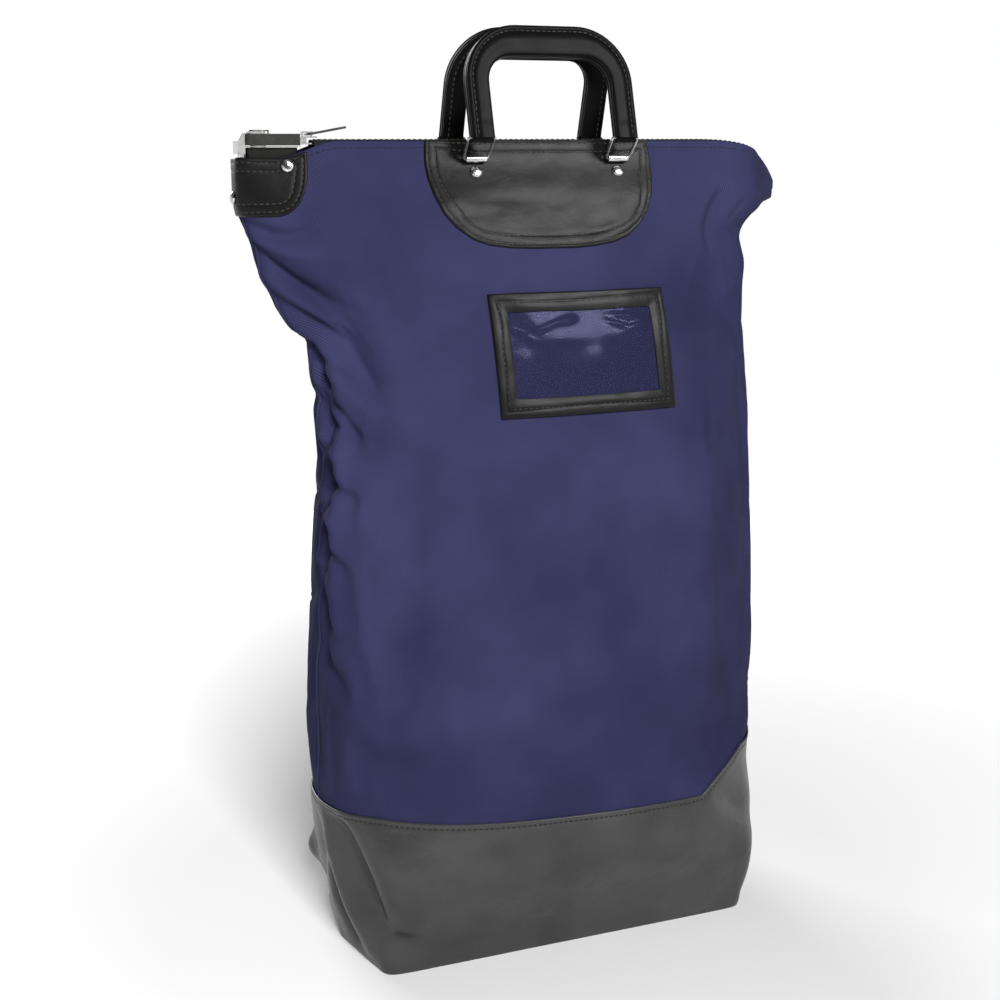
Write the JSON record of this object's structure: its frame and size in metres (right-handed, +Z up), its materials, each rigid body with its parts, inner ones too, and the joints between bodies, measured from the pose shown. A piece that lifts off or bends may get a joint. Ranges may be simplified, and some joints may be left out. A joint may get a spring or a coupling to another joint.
{
  "type": "cash deposit bag",
  "caption": "Upright zip-top cash deposit bag of navy nylon with a boxed black vinyl base, ringed carrying handles, a clear card window and a pop-up key lock at the end of the zip.",
  "frame": {"origin": "middle of the flat base, on the floor", "axes": "+Z up to the handles, front with the card window towards -Y, lock end of the zip towards -X"},
  "size_m": [0.4542, 0.2112, 0.6969],
  "materials": {
    "nylon_cloth": "navy laminated nylon with a fine diagonal weave",
    "boot_vinyl": "satin black vinyl",
    "black_vinyl": "satin black vinyl",
    "handle_vinyl": "black vinyl with a smooth pressed edge",
    "clear_film": "clear glossy vinyl film",
    "zip_tape": "woven black tape",
    "zip_coil": "black nylon coil",
    "bright_nickel": "bright nickel plate",
    "lock_steel": "dark sheet steel",
    "cast_zinc": "dull cast zinc",
    "plug_brass": "turned brass"
  },
  "bodies": {
    "bag": {"bottom_boot": "boot_vinyl", "front_panel": "nylon_cloth", "back_panel": "nylon_cloth", "window_film": "clear_film", "window_frame": "black_vinyl", "lock_corner_patch": "black_vinyl", "front_handle_patch": "black_vinyl", "back_handle_patch": "black_vinyl", "front_zipper_tape": "zip_tape", "back_zipper_tape": "zip_tape", "front_zipper_coil": "zip_coil", "back_zipper_coil": "zip_coil", "lock_base": "cast_zinc", "lock_trim": "bright_nickel", "lock_housing": "lock_steel", "lock_end_bracket": "bright_nickel", "front_left_chape": "bright_nickel", "front_left_handle_rivet": "bright_nickel", "front_left_rivet_washer": "bright_nickel", "front_right_chape": "bright_nickel", "front_right_handle_rivet": "bright_nickel", "front_right_rivet_washer": "bright_nickel", "back_left_chape": "bright_nickel", "back_left_handle_rivet": "bright_nickel", "back_left_rivet_washer": "bright_nickel", "back_right_chape": "bright_nickel", "back_right_handle_rivet": "bright_nickel", "back_right_rivet_washer": "bright_nickel", "corner_front_rivet": "bright_nickel", "corner_front_washer": "bright_nickel", "corner_back_rivet": "bright_nickel", "corner_back_washer": "bright_nickel", "corner_end_rivet": "bright_nickel", "corner_end_washer": "bright_nickel"},
    "zipper_slider": {"zipper_slider": "bright_nickel"},
    "slider_pull_tab": {"slider_pull_tab": "lock_steel"},
    "lock_plunger": {"lock_plunger": "bright_nickel"},
    "lock_key_plug": {"lock_key_plug": "plug_brass"},
    "front_left_ring": {"front_left_ring": "bright_nickel"},
    "front_right_ring": {"front_right_ring": "bright_nickel"},
    "front_handle": {"front_handle_core": "handle_vinyl", "front_handle_outer_cover": "handle_vinyl", "front_handle_inner_cover": "handle_vinyl"},
    "back_left_ring": {"back_left_ring": "bright_nickel"},
    "back_right_ring": {"back_right_ring": "bright_nickel"},
    "back_handle": {"back_handle_core": "handle_vinyl", "back_handle_outer_cover": "handle_vinyl", "back_handle_inner_cover": "handle_vinyl"}
  },
  "joints": [
    {"name": "zipper_travel", "type": "slide", "parent": "bag", "child": "zipper_slider", "axis": [1, 0, 0], "range_m": [0, 0.29]},
    {"name": "pull_tab_hinge", "type": "hinge", "parent": "zipper_slider", "child": "slider_pull_tab", "pos_m": [-0.1785, 0, 0.6189], "axis": [0, -1, 0], "range_deg": [-9, 110]},
    {"name": "plunger_press", "type": "slide", "parent": "bag", "child": "lock_plunger", "axis": [0, 0, -1], "range_m": [0, 0.0045], "stiffness_N_per_m": 900},
    {"name": "key_turn", "type": "hinge", "parent": "lock_plunger", "child": "lock_key_plug", "pos_m": [-0.214, 0, 0.62], "axis": [0, 0, 1], "range_deg": [0, 90]},
    {"name": "front_left_ring_hinge", "type": "hinge", "parent": "bag", "child": "front_left_ring", "pos_m": [-0.057, -0.01851, 0.60151], "axis": [1, 0, 0], "range_deg": [0, 60]},
    {"name": "front_right_ring_hinge", "type": "hinge", "parent": "bag", "child": "front_right_ring", "pos_m": [0.058, -0.01851, 0.60151], "axis": [1, 0, 0], "range_deg": [0, 60]},
    {"name": "front_handle_hinge", "type": "hinge", "parent": "front_left_ring", "child": "front_handle", "pos_m": [0.0005, -0.03136, 0.61683], "axis": [1, 0, 0], "range_deg": [-2.5, 115]},
    {"name": "back_left_ring_hinge", "type": "hinge", "parent": "bag", "child": "back_left_ring", "pos_m": [-0.057, 0.01851, 0.60151], "axis": [-1, 0, 0], "range_deg": [0, 60]},
    {"name": "back_right_ring_hinge", "type": "hinge", "parent": "bag", "child": "back_right_ring", "pos_m": [0.058, 0.01851, 0.60151], "axis": [-1, 0, 0], "range_deg": [0, 60]},
    {"name": "back_handle_hinge", "type": "hinge", "parent": "back_left_ring", "child": "back_handle", "pos_m": [0.0005, 0.03136, 0.61683], "axis": [-1, 0, 0], "range_deg": [-2.5, 115]}
  ],
  "couplings": [
    {"joint": "front_right_ring_hinge", "follows": "front_left_ring_hinge", "ratio": 1},
    {"joint": "back_right_ring_hinge", "follows": "back_left_ring_hinge", "ratio": 1}
  ]
}
